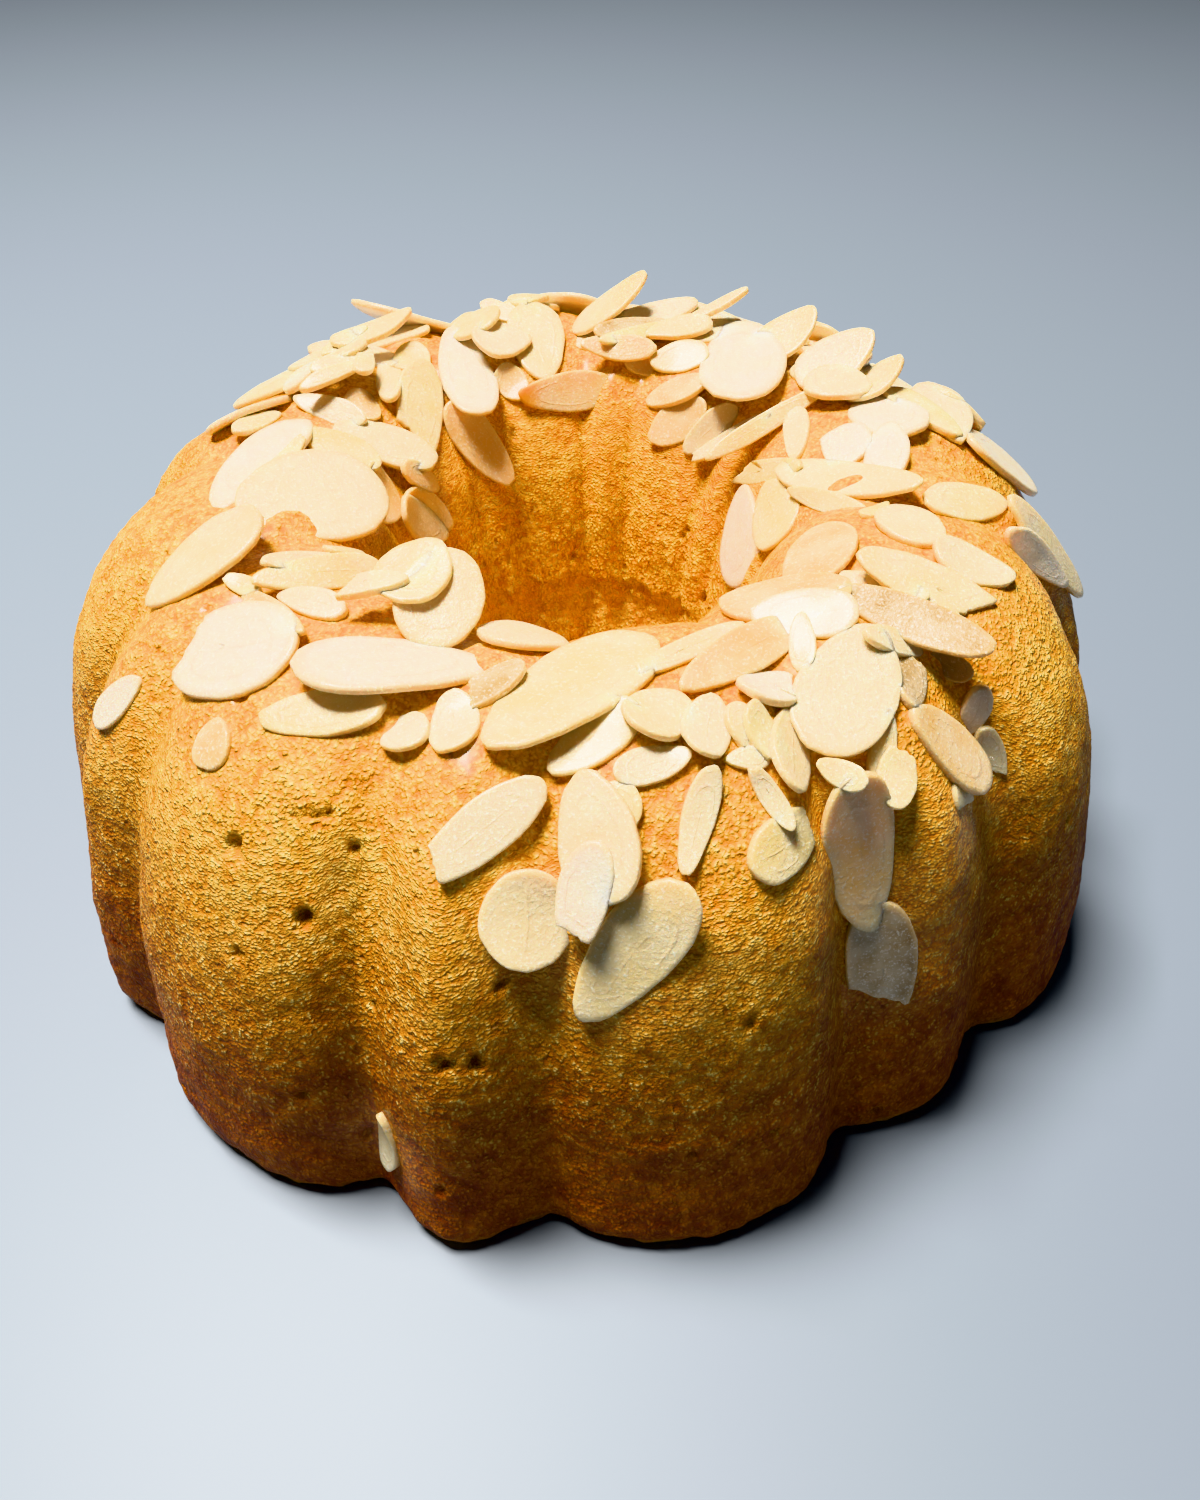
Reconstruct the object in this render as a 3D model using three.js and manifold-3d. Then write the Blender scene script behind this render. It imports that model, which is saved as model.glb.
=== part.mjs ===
// A small fluted ring cake, turned out of its tin, with a wreath of flaked almonds stuck on top.
//
// Units are millimetres and +Z is up. The origin is the middle of the flat underside, where the hole
// comes out. The side shown most faces -Y. A place on the cake has two angles in degrees: its azimuth,
// from the front towards +X, and its rise, the place on the ring's section, which is 0 at the outer
// foot, 90 on the crest and 180 at the foot of the hole.

import * as THREE from 'three';
import { mergeVertices } from 'three/addons/utils/BufferGeometryUtils.js';
import Module from 'manifold-3d';

// The ring's section
const CREST_HEIGHT = 64;
const CREST_RADIUS = 44.9;
const WALL_TAPER = 0.11; // outer wall's lean inwards, per millimetre of height
const SHOULDER_SQUARENESS = 3.55; // a higher power keeps the wall upright for longer
const SHOULDER_ROUNDNESS = 2.22;
const HOLE_RADIUS = 18; // at the foot of the hole, which widens upwards
const HOLE_TAPER = 0.1;
const LIP_SQUARENESS = 6;
const LIP_ROUNDNESS = 2.6;
const FOOT_HEIGHT = 4; // the baked edge turns in over this height
const FOOT_INSET = 1.6;

// The flutes: broad lobes and narrow ridges in turn, with creases between them
const FIRST_CREASE = -51; // azimuth of the crease before the first lobe in the list
const FIRST_CREASE_RADIUS = 74.9;
const LOBES = [ // [width in degrees, radius at its middle, radius of the crease after it]
  [29, 81.0, 74.1], [18, 80.8, 74.2],
  [29, 79.8, 71.5], [22.5, 77.0, 72.7],
  [28.5, 80.4, 73.8], [14, 80.0, 73.8],
  [27, 80.3, 73.8], [16, 79.5, 73.8],
  [28, 80.2, 73.8], [17, 80.4, 73.8],
  [26, 80.2, 73.8], [15, 79.5, 73.8],
  [26, 80.0, 73.8], [18, 79.5, 73.8],
  [28, 80.2, 73.8], [18, 80.2, FIRST_CREASE_RADIUS],
];
const LOBE_FULLNESS = 2.1; // powers that shape a broad lobe's outline
const LOBE_ROUNDNESS = 0.55;
const RIDGE_SHARPNESS = 1.33;
const CREASE_DIP = 1.6; // how much lower the crest is at a crease
const HOLE_FLUTE = 1.6; // how much wider the hole is at a crease

// The facets of the ring
const LOBE_STEPS = [0, 0.11, 0.35, 0.65, 0.89]; // share of a broad lobe's width
const RIDGE_STEPS = [0, 0.24, 0.5, 0.76];
const SECTION_STEPS = 16; // rings between the outer foot and the foot of the hole
const SECTION_SAMPLES = 720;

// The almonds: flakes sliced from peeled kernels
const FLAKE_THICKNESS = 1.1;
const FLAKE_SINK = 0.5; // how far a flake is pressed into what it lies on
const LEANING_SINK = 1.0;
const FLAKE_SIDES = 6;
const STEEPEST = 0.32; // slope at which a flake stays stuck, though it would rest more steeply
const TOO_STEEP = 0.6; // slope of a resting place that the rule passes over
const KINDS = { // taper: how much slimmer one end is; cut: share of the half length where one end broke
  oval: { taper: 0.2, cut: 1, bend: 0 },
  round: { taper: 0.08, cut: 1, bend: 0 },
  broken: { taper: 0.12, cut: 0.45, bend: 0 },
  chipped: { taper: 0.1, cut: 0.72, bend: 0 },
  sliver: { taper: 0.1, cut: 0.9, bend: 0 },
  curved: { taper: 0.15, cut: 1, bend: 0.16 },
};
// The flakes that can be told apart, lowest first: azimuth, rise, heading of the slim end (0 along the
// azimuth, 90 up the rise), length, width, kind, and for a leaning one the angle that this end stands up
const SHOWN_FLAKES = [
  [-110, 83, 170, 16, 6.5, 'oval'], [-106, 87.5, 165, 9.5, 3.5, 'oval'],
  [-121, 88, 105, 7, 7, 'oval', 25], [-132, 88, 180, 9, 3.5, 'oval', 12],
  [-137, 89, 180, 15, 5.5, 'oval', 12], [-124.5, 92.5, 150, 8.5, 3, 'oval'],
  [-121, 93.5, 160, 10.5, 2.5, 'sliver'], [-122, 100, 75, 6.5, 5, 'oval'],
  [-128, 95.5, 215, 7.5, 3, 'oval'], [-133.5, 97, 230, 14.5, 4, 'broken'],
  [-143, 93.5, 235, 8, 6, 'round'], [-117, 95, 275, 12, 4, 'oval'], [-105, 104.5, 270, 11.5, 6.5, 'oval'],
  [-101.5, 117, 240, 9, 7, 'oval'], [-93, 91.5, 345, 24.5, 9, 'oval'],
  [-92, 95.5, 155, 11.5, 2.5, 'sliver'], [-165.5, 89.5, 125, 8, 3.5, 'oval'],
  [-159, 90.5, 300, 12, 8, 'oval'], [-171.5, 97, 90, 15.5, 9, 'oval'],
  [-171.5, 88, 140, 8, 5, 'broken', 10], [-162.5, 108.5, 110, 6.5, 5, 'oval'],
  [-163, 98, 180, 9.5, 7.5, 'oval'], [-147, 121, 105, 16, 6.5, 'oval'],
  [-132.5, 109.5, 50, 19.5, 7.5, 'broken'], [-117.5, 110.5, 295, 15.5, 7, 'oval'],
  [-151.5, 102.5, 255, 21, 8.5, 'oval'], [-177.5, 112.5, 10, 16, 6, 'oval'],
  [-119, 121, 120, 8, 3.5, 'oval'], [-116.5, 127.5, 110, 11, 6, 'oval'],
  [-109, 128.5, 140, 13, 6, 'oval'], [-27, 100, 110, 13, 10, 'round', 38],
  [-33, 100, 90, 10, 9, 'round', 30], [-61, 106, 120, 8, 4, 'oval'], [-56, 100, 85, 17.5, 3.5, 'oval'],
  [-53, 96.5, 260, 16, 4.5, 'oval'], [-82, 102.5, 300, 20.5, 16, 'oval'], [-66.5, 83, 275, 18, 12.5, 'oval'],
  [-57, 87, 205, 5.5, 2.5, 'sliver'], [-48, 87, 180, 15, 3, 'oval'], [-46, 91.5, 195, 10, 4, 'oval'],
  [-37.5, 95, 220, 10, 3.5, 'broken'], [-47.5, 78, 215, 18.5, 13, 'chipped'],
  [-58, 57.5, 65, 9.5, 4, 'oval'], [-40.5, 65.5, 125, 6, 5, 'oval'], [-30.5, 77, 205, 14, 5.5, 'oval'],
  [-26, 88, 30, 21.5, 11, 'oval'], [-10.5, 102, 5, 10.5, 8, 'oval'], [-12.5, 88, 230, 10, 4.5, 'broken'],
  [-15, 81, 110, 8, 5.5, 'round'], [-20, 77, 110, 5.5, 5.5, 'round'], [1, 79.5, 220, 11.5, 6, 'oval'],
  [8.5, 82, 25, 8, 7, 'round'], [7, 74.5, 10, 8.5, 4, 'oval'], [13.5, 78.5, 60, 8.5, 5.5, 'round'],
  [-10, 65, 215, 16, 6, 'chipped'], [3, 68, 270, 6, 5, 'broken'], [1, 64, 105, 14, 9, 'oval'],
  [-6, 52, 80, 10.5, 10, 'round'], [3.5, 48.5, 235, 19.5, 8.5, 'oval'],
  [0, 56.5, 260, 11.5, 5.5, 'chipped', 4], [10.5, 65.5, 245, 11.5, 3.5, 'oval'],
  [-1.5, 89, 230, 24.5, 12, 'oval'], [18.5, 59, 15, 10, 6.5, 'chipped'], [29, 31, 275, 21, 8.5, 'broken'],
  [27.5, 50.5, 275, 21.5, 8.5, 'oval'], [40.5, 72, 30, 8, 4.5, 'chipped'], [48, 69, 140, 5.5, 3, 'oval'],
  [48, 60, 250, 6.5, 3.5, 'oval'], [48, 51, 285, 9, 3.5, 'broken'], [40.5, 51, 270, 6, 5, 'broken'],
  [41, 58.5, 115, 15.5, 7, 'oval'], [32.5, 64.5, 60, 9, 3, 'oval'], [32.5, 60.5, 60, 7.5, 4.5, 'chipped'],
  [17, 72.5, 165, 5, 2.5, 'oval'], [17.5, 77.5, 270, 5.5, 3.5, 'sliver'],
  [19.5, 75.5, 270, 7, 4, 'sliver'], [18, 66, 105, 8, 2.5, 'sliver'], [27, 64, 140, 5.5, 3, 'oval'],
  [22.5, 71.5, 40, 11, 6, 'oval'], [24, 82, 340, 10, 5.5, 'broken'], [16, 92.5, 200, 16, 3, 'sliver'],
  [102, 131, 315, 15.5, 10, 'oval'], [90, 118.5, 355, 11.5, 8.5, 'oval'],
  [55.5, 101.5, 15, 15, 9.5, 'round'], [71.5, 95.5, 325, 5, 2.5, 'oval'], [79, 106, 50, 14, 3, 'oval'],
  [37.5, 97, 130, 15.5, 11, 'oval'], [35, 91, 135, 12, 6.5, 'oval'], [22, 90, 200, 18.5, 5.5, 'oval'],
  [31.5, 88, 50, 7.5, 3, 'oval'], [32, 76, 35, 17.5, 11, 'round'], [79, 80.5, 305, 13.5, 6, 'oval'],
  [67.5, 90, 225, 10, 8, 'oval'], [63, 79, 285, 11, 7, 'oval'], [50.5, 89, 100, 11, 4, 'oval'],
  [54.5, 81, 290, 21.5, 7, 'broken'], [41.5, 79, 325, 10, 3.5, 'oval'], [48, 80, 130, 18.5, 5.5, 'oval'],
  [81.5, 59, 290, 23.5, 6, 'oval'], [78.5, 61, 295, 15, 4, 'oval'], [103, 82.5, 205, 14, 6, 'oval'],
  [102.5, 90, 15, 14, 9.5, 'oval'], [109, 106, 150, 11, 4, 'oval'], [96.5, 100.5, 105, 10, 7.5, 'broken'],
  [91.5, 92.5, 345, 11, 6, 'oval'], [146.5, 117, 50, 10.5, 6.5, 'oval'],
  [136, 116, 70, 10.5, 4.5, 'oval'], [153, 88, 205, 15, 3.5, 'oval', 24],
  [167, 90, 215, 22.5, 7.5, 'oval', 19], [171.5, 90, 200, 15, 8.5, 'oval', 23],
  [166, 94.5, 220, 16, 4.5, 'oval'], [166.5, 97, 225, 14, 2.5, 'sliver'],
  [156, 92.5, 30, 11, 4.5, 'oval'], [162.5, 103, 15, 6, 3.5, 'oval'], [169, 102.5, 5, 12, 4, 'oval'],
  [149.5, 110, 25, 11, 5, 'oval'], [153, 100.5, 30, 9.5, 5.5, 'oval'], [112, 88, 250, 10, 8, 'oval', 34],
  [122, 90, 255, 13, 9, 'oval', 35], [114, 92.5, 215, 10, 7.5, 'oval'], [136, 89, 245, 12, 8, 'oval', 36],
  [138.5, 97, 310, 25, 13, 'oval'], [109, 118, 30, 19.5, 3.5, 'broken'], [127, 116, 45, 15, 3, 'sliver'],
  [120, 108.5, 255, 20.5, 3, 'sliver'], [84.5, 101, 230, 24, 7, 'oval'],
  [-19.5, 13, 95, 10.5, 3.5, 'oval'],
];
// The side that faces away is laid by a rule
const SCATTERED_SEED = 20240;
const GOLDEN_ANGLE = 137.508; // spreads the azimuths evenly in any number
const AWAY_SIDE = { count: 26, middle: 77, spread: 19, from: 100, to: 250 };
const FLAKE_LENGTHS = [15, 23];
const FLAKE_PROPORTIONS = [0.4, 0.56];

const CAKE_COLOUR = 0xc98a3c;

const radians = THREE.MathUtils.degToRad;

// Turns the lobe table into stretches of azimuth, each between two creases.
function layOutLobes() {
  let start = FIRST_CREASE;
  let before = FIRST_CREASE_RADIUS;
  return LOBES.map(([width, tip, after], index) => {
    const stretch = { start, width, tip, before, after, broad: index % 2 === 0 };
    start += width;
    before = after;
    return stretch;
  });
}
const STRETCHES = layOutLobes();

// The outline seen from above at one azimuth: its radius at the foot, and its swell, which is 0 in a
// crease and 1 on the middle of a lobe.
function outlineAt(azimuth) {
  const turned = THREE.MathUtils.euclideanModulo(azimuth - FIRST_CREASE, 360) + FIRST_CREASE;
  const lobe = STRETCHES.find((each) => turned < each.start + each.width) ?? STRETCHES.at(-1);
  const share = (turned - lobe.start) / lobe.width;
  const off = Math.min(1, Math.abs(2 * share - 1));
  const swell = lobe.broad
    ? (1 - off ** LOBE_FULLNESS) ** LOBE_ROUNDNESS
    : 1 - off ** RIDGE_SHARPNESS;
  const crease = lobe.before + (lobe.after - lobe.before) * share;
  return { radius: crease + (lobe.tip - crease) * swell, swell };
}

// The section at one azimuth: the crest's height there, and the wall's and the hole's radius at a height.
function sectionAt(azimuth) {
  const { radius, swell } = outlineAt(azimuth);
  const top = CREST_HEIGHT - CREASE_DIP * (1 - swell);
  const foot = (height) => FOOT_INSET * Math.max(0, 1 - height / FOOT_HEIGHT) ** 2;
  const wall = (height) => {
    const full = (1 - (height / top) ** SHOULDER_SQUARENESS) ** (1 / SHOULDER_ROUNDNESS);
    return CREST_RADIUS + (radius - CREST_RADIUS - WALL_TAPER * height) * full - foot(height);
  };
  const hole = (height) => {
    const full = (1 - (height / top) ** LIP_SQUARENESS) ** (1 / LIP_ROUNDNESS);
    const upright = HOLE_RADIUS + HOLE_FLUTE * (1 - swell) + HOLE_TAPER * height;
    return CREST_RADIUS - (CREST_RADIUS - upright) * full;
  };
  return { top, wall, hole };
}

function pointAt(azimuth, rise) {
  const section = sectionAt(azimuth);
  const height = section.top * Math.min(1, Math.sin(radians(rise)));
  const radius = rise <= 90 ? section.wall(height) : section.hole(height);
  const turn = radians(azimuth);
  return new THREE.Vector3(radius * Math.sin(turn), -radius * Math.cos(turn), Math.max(0, height));
}

function isInside(point) {
  const section = sectionAt(THREE.MathUtils.radToDeg(Math.atan2(point.x, -point.y)));
  if (point.z < 0 || point.z >= section.top) return false;
  const radius = Math.hypot(point.x, point.y);
  return radius < section.wall(point.z) && radius > section.hole(point.z);
}

// Rises that cut a section into pieces of equal length along its curve.
function evenRises() {
  const middle = FIRST_CREASE + LOBES[0][0] / 2;
  const walked = [0];
  for (let step = 1; step <= SECTION_SAMPLES; step += 1) {
    const here = pointAt(middle, (180 * step) / SECTION_SAMPLES);
    walked.push(walked.at(-1) + here.distanceTo(pointAt(middle, (180 * (step - 1)) / SECTION_SAMPLES)));
  }
  const rises = [];
  for (let ring = 0; ring <= SECTION_STEPS; ring += 1) {
    const target = (walked.at(-1) * ring) / SECTION_STEPS;
    rises.push((180 * walked.findIndex((length) => length >= target - TIE)) / SECTION_SAMPLES);
  }
  return rises;
}

// The fluted ring: a lathe's closed skin, whose points are then moved onto the cake's surface.
function ringGeometry() {
  const azimuths = STRETCHES.flatMap(({ start, width, broad }) =>
    (broad ? LOBE_STEPS : RIDGE_STEPS).map((share) => start + width * share));
  const rises = evenRises();
  const profile = [...rises, rises[0]].map((rise) => {
    const point = pointAt(0, rise);
    return new THREE.Vector2(Math.hypot(point.x, point.y), point.z);
  });
  const geometry = new THREE.LatheGeometry(profile, azimuths.length);
  const position = geometry.attributes.position;
  for (let index = 0; index < position.count; index += 1) {
    const around = Math.floor(index / profile.length) % azimuths.length;
    const across = (index % profile.length) % rises.length;
    const point = pointAt(azimuths[around], rises[across]);
    position.setXYZ(index, point.x, point.y, point.z);
  }
  return geometry;
}

// A flake's outline in its own plane, with its slim end towards +x.
function flakeOutline({ length, width, kind }, sides) {
  const { taper, cut, bend } = KINDS[kind];
  return Array.from({ length: sides }, (_, corner) => {
    const turn = (2 * Math.PI * corner) / sides;
    const along = Math.cos(turn);
    const y = (width / 2) * Math.sin(turn) * (1 - taper * along) + bend * length * (0.5 - along ** 2);
    const limit = cut + (0.5 * Math.sin(turn) * (1 - cut));
    return new THREE.Vector2((length / 2) * Math.min(along, limit), y);
  });
}

function isUnderOutline({ length, width, kind }, x, y) {
  const { taper, cut, bend } = KINDS[kind];
  const along = x / (length / 2);
  if (Math.abs(along) >= 1 || along > cut) return false;
  const half = (width / 2) * (1 - taper * along) * Math.sqrt(1 - along ** 2);
  return Math.abs(y - bend * length * (0.5 - along ** 2)) < half;
}

// Places in a flake's outline where it may touch what is under it.
const TOUCH_PLACES = [[0, 0]];
for (const reach of [0.5, 0.94]) {
  for (let corner = 0; corner < 8; corner += 1) {
    const turn = (Math.PI * corner) / 4;
    TOUCH_PLACES.push([reach * Math.cos(turn), reach * Math.sin(turn)]);
  }
}
const PROBE_START = 14;
const PROBE_END = -9;
const PROBE_STEP = 0.5;
const PROBE_HALVINGS = 7;
const LEAST_FACING = 0.3; // a flake that faces away more than this isn't met from above
const NEAR_FLAKES = 8; // flakes with a wider gap than this can't touch
const TINY_AREA = 1e-6;
const TIE = 1e-9;

// How high above the plane of a spot the cake's surface is met, coming straight down onto the plane.
function cakeHeight(origin, normal) {
  const point = new THREE.Vector3();
  const insideAt = (height) => isInside(point.copy(origin).addScaledVector(normal, height));
  for (let height = PROBE_START; height > PROBE_END; height -= PROBE_STEP) {
    if (insideAt(height)) {
      let low = height;
      let high = height + PROBE_STEP;
      for (let halving = 0; halving < PROBE_HALVINGS; halving += 1) {
        const middle = (low + high) / 2;
        if (insideAt(middle)) low = middle;
        else high = middle;
      }
      return (low + high) / 2;
    }
  }
  return PROBE_END;
}

// The same for a flake that lies there already.
function flakeHeight(flake, origin, normal) {
  const facing = normal.dot(flake.up);
  if (facing < LEAST_FACING) return PROBE_END;
  const top = flake.centre.clone().addScaledVector(flake.up, FLAKE_THICKNESS / 2);
  const height = top.sub(origin).dot(flake.up) / facing;
  if (height > PROBE_START) return PROBE_END;
  const met = origin.clone().addScaledVector(normal, height).sub(flake.centre);
  return isUnderOutline(flake, met.dot(flake.along), met.dot(flake.across)) ? height : PROBE_END;
}

// The slopes of the plane that rests on three of the touched places and clears the rest: of all
// triangles of places around the middle, the one that holds the middle highest.
function restingSlopes(places) {
  let best = { height: -Infinity };
  for (let i = 0; i < places.length; i += 1) {
    for (let j = i + 1; j < places.length; j += 1) {
      for (let k = j + 1; k < places.length; k += 1) {
        const [a, b, c] = [places[i], places[j], places[k]];
        const area = (b.x - a.x) * (c.y - a.y) - (b.y - a.y) * (c.x - a.x);
        if (Math.abs(area) < TINY_AREA) continue;
        const shareA = (b.x * c.y - c.x * b.y) / area;
        const shareB = (c.x * a.y - a.x * c.y) / area;
        const shareC = 1 - shareA - shareB;
        if (Math.min(shareA, shareB, shareC) < -TIE) continue;
        const height = shareA * a.z + shareB * b.z + shareC * c.z;
        if (height <= best.height + TIE) continue;
        const slopeX = ((b.z - a.z) * (c.y - a.y) - (c.z - a.z) * (b.y - a.y)) / area;
        const slopeY = ((b.x - a.x) * (c.z - a.z) - (c.x - a.x) * (b.z - a.z)) / area;
        best = { height, slopeX, slopeY };
      }
    }
  }
  return best;
}

// Lays a flake on the cake and on the flakes that are there, and returns where it came to rest.
function settle(flake, laid) {
  const spot = pointAt(flake.azimuth, flake.rise);
  const towards = pointAt(flake.azimuth + 0.5, flake.rise).sub(pointAt(flake.azimuth - 0.5, flake.rise));
  const upwards = pointAt(flake.azimuth, flake.rise + 0.5).sub(pointAt(flake.azimuth, flake.rise - 0.5));
  const normal = towards.clone().cross(upwards).normalize();
  towards.normalize();
  const inward = normal.clone().cross(towards);
  const turn = radians(flake.heading);
  const along = towards.clone().multiplyScalar(Math.cos(turn)).addScaledVector(inward, Math.sin(turn));
  const across = normal.clone().cross(along);
  const near = laid.filter(({ centre, length }) =>
    centre.distanceTo(spot) < (length + flake.length) / 2 + NEAR_FLAKES);
  const places = TOUCH_PLACES.map(([shareX, shareY]) => {
    const x = (shareX * flake.length) / 2;
    const y = (shareY * flake.width) / 2;
    const origin = spot.clone().addScaledVector(along, x).addScaledVector(across, y);
    const heights = near.map((each) => flakeHeight(each, origin, normal));
    return { x, y, z: Math.max(cakeHeight(origin, normal), ...heights) };
  });
  let { slopeX, slopeY } = restingSlopes(places);
  let touching = 3;
  let sink = FLAKE_SINK;
  const slope = Math.hypot(slopeX, slopeY);
  if (flake.lean) {
    slopeX = Math.tan(radians(flake.lean));
    slopeY = 0;
    touching = 1;
    sink = LEANING_SINK;
  } else if (slope > STEEPEST) {
    slopeX *= STEEPEST / slope;
    slopeY *= STEEPEST / slope;
  }
  const clearances = places.map(({ x, y, z }) => z - slopeX * x - slopeY * y).sort((a, b) => b - a);
  const height = clearances[touching - 1];
  const up = normal.clone().addScaledVector(along, -slopeX).addScaledVector(across, -slopeY).normalize();
  const tilted = along.clone().addScaledVector(up, -along.dot(up)).normalize();
  const centre = spot.addScaledVector(normal, height).addScaledVector(up, FLAKE_THICKNESS / 2 - sink);
  return { ...flake, centre, up, along: tilted, across: up.clone().cross(tilted), slope };
}

// Random draws that come out the same on every run.
function seededDraws(seed) {
  let state = seed;
  return () => {
    state = (Math.imul(state, 1664525) + 1013904223) >>> 0;
    return state / 2 ** 32;
  };
}

// Flakes laid by the rule: even in azimuth, random in all else, and none that would stand too steeply.
function scatter(rule, draw, laid) {
  for (let index = 0; index < rule.count; index += 1) {
    const share = ((index * GOLDEN_ANGLE) % 360) / 360;
    const azimuth = rule.from + (rule.to - rule.from) * share;
    const rise = rule.middle + rule.spread * (draw() + draw() - 1);
    const heading = 360 * draw();
    const length = THREE.MathUtils.lerp(...FLAKE_LENGTHS, draw());
    const width = length * THREE.MathUtils.lerp(...FLAKE_PROPORTIONS, draw());
    const pick = draw();
    const kind = pick < 0.6 ? 'oval' : pick < 0.85 ? 'broken' : 'curved';
    const flake = settle({ azimuth, rise, heading, length, width, kind }, laid);
    if (flake.slope < TOO_STEEP) laid.push(flake);
  }
}

function layFlakes() {
  const laid = [];
  const draw = seededDraws(SCATTERED_SEED);
  scatter(AWAY_SIDE, draw, laid);
  for (const [azimuth, rise, heading, length, width, kind, lean] of SHOWN_FLAKES) {
    laid.push(settle({ azimuth, rise, heading, length, width, kind, lean }, laid));
  }
  return laid;
}

function flakeGeometry(flake) {
  const shape = new THREE.Shape(flakeOutline(flake, FLAKE_SIDES));
  const geometry = new THREE.ExtrudeGeometry(shape, { depth: FLAKE_THICKNESS, bevelEnabled: false });
  geometry.translate(0, 0, -FLAKE_THICKNESS / 2);
  const place = new THREE.Matrix4().makeBasis(flake.along, flake.across, flake.up);
  return geometry.applyMatrix4(place.setPosition(flake.centre));
}

const wasm = await Module();
wasm.setup();

function toSolid(geometry) {
  geometry.deleteAttribute('normal');
  geometry.deleteAttribute('uv');
  const merged = mergeVertices(geometry);
  return new wasm.Manifold(new wasm.Mesh({
    numProp: 3,
    vertProperties: new Float32Array(merged.attributes.position.array),
    triVerts: new Uint32Array(merged.index.array),
  }));
}

function toGeometry(solid) {
  const { vertProperties, triVerts } = solid.getMesh();
  const geometry = new THREE.BufferGeometry();
  geometry.setAttribute('position', new THREE.BufferAttribute(new Float32Array(vertProperties), 3));
  geometry.setIndex(new THREE.BufferAttribute(new Uint32Array(triVerts), 1));
  geometry.computeVertexNormals();
  return geometry;
}

// The ring and the flakes as one body. Loose scraps and sealed hollows between flakes are dropped.
function cakeGeometry() {
  const flakes = layFlakes().map((flake) => toSolid(flakeGeometry(flake)));
  const fused = wasm.Manifold.union([toSolid(ringGeometry()), ...flakes]);
  const pieces = fused.decompose().sort((a, b) => b.volume() - a.volume());
  return toGeometry(pieces[0]);
}

const cake = new THREE.Mesh(
  cakeGeometry(),
  new THREE.MeshStandardMaterial({ color: CAKE_COLOUR, roughness: 0.6, metalness: 0, flatShading: true }),
);
cake.name = 'cake';

const ringCake = new THREE.Group();
ringCake.add(cake);

export default ringCake;
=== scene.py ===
# A small fluted ring cake with flaked almonds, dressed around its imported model.
#
# Blender works in metres. The cake's own sizes are in millimetres here, as they are in the model's
# source, and MM turns them into metres where a mesh is made. A place on the cake has an azimuth, from
# the front towards +X, and a rise on the ring's section: 0 at the outer foot, 90 on the crest and 180
# at the foot of the hole, both in degrees.

import itertools
import math
from types import SimpleNamespace

import bpy
import numpy as np
from mathutils import Matrix, Vector, noise


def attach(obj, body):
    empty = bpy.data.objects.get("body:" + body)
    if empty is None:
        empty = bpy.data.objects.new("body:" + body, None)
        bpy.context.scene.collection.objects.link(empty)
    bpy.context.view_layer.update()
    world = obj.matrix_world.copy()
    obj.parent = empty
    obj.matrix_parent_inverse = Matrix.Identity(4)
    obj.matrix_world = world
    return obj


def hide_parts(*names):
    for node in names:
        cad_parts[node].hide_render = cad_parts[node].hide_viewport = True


MM = 0.001

# The ring's section
CREST_HEIGHT = 64
CREST_RADIUS = 44.9
WALL_TAPER = 0.11
SHOULDER_SQUARENESS = 3.55
SHOULDER_ROUNDNESS = 2.22
HOLE_RADIUS = 18
HOLE_TAPER = 0.1
LIP_SQUARENESS = 6
LIP_ROUNDNESS = 2.6
FOOT_HEIGHT = 4
FOOT_INSET = 1.6

# The flutes, broad lobes and narrow ridges in turn
FIRST_CREASE = -51
FIRST_CREASE_RADIUS = 74.9
LOBES = [  # (width in degrees, radius at its middle, radius of the crease after it)
    (29, 81.0, 74.1), (18, 80.8, 74.2),
    (29, 79.8, 71.5), (22.5, 77.0, 72.7),
    (28.5, 80.4, 73.8), (14, 80.0, 73.8),
    (27, 80.3, 73.8), (16, 79.5, 73.8),
    (28, 80.2, 73.8), (17, 80.4, 73.8),
    (26, 80.2, 73.8), (15, 79.5, 73.8),
    (26, 80.0, 73.8), (18, 79.5, 73.8),
    (28, 80.2, 73.8), (18, 80.2, FIRST_CREASE_RADIUS),
]
LOBE_FULLNESS = 2.1
LOBE_ROUNDNESS = 0.55
RIDGE_SHARPNESS = 1.33
CREASE_DIP = 1.6
HOLE_FLUTE = 1.6

# The almonds
FLAKE_THICKNESS = 1.1
FLAKE_SINK = 0.5
LEANING_SINK = 1.0
STEEPEST = 0.32
TOO_STEEP = 0.6
KINDS = {  # taper of the slim end, share of the half length where an end broke, bend
    "oval": (0.2, 1, 0),
    "round": (0.08, 1, 0),
    "broken": (0.12, 0.45, 0),
    "chipped": (0.1, 0.72, 0),
    "sliver": (0.1, 0.9, 0),
    "curved": (0.15, 1, 0.16),
}
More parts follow.
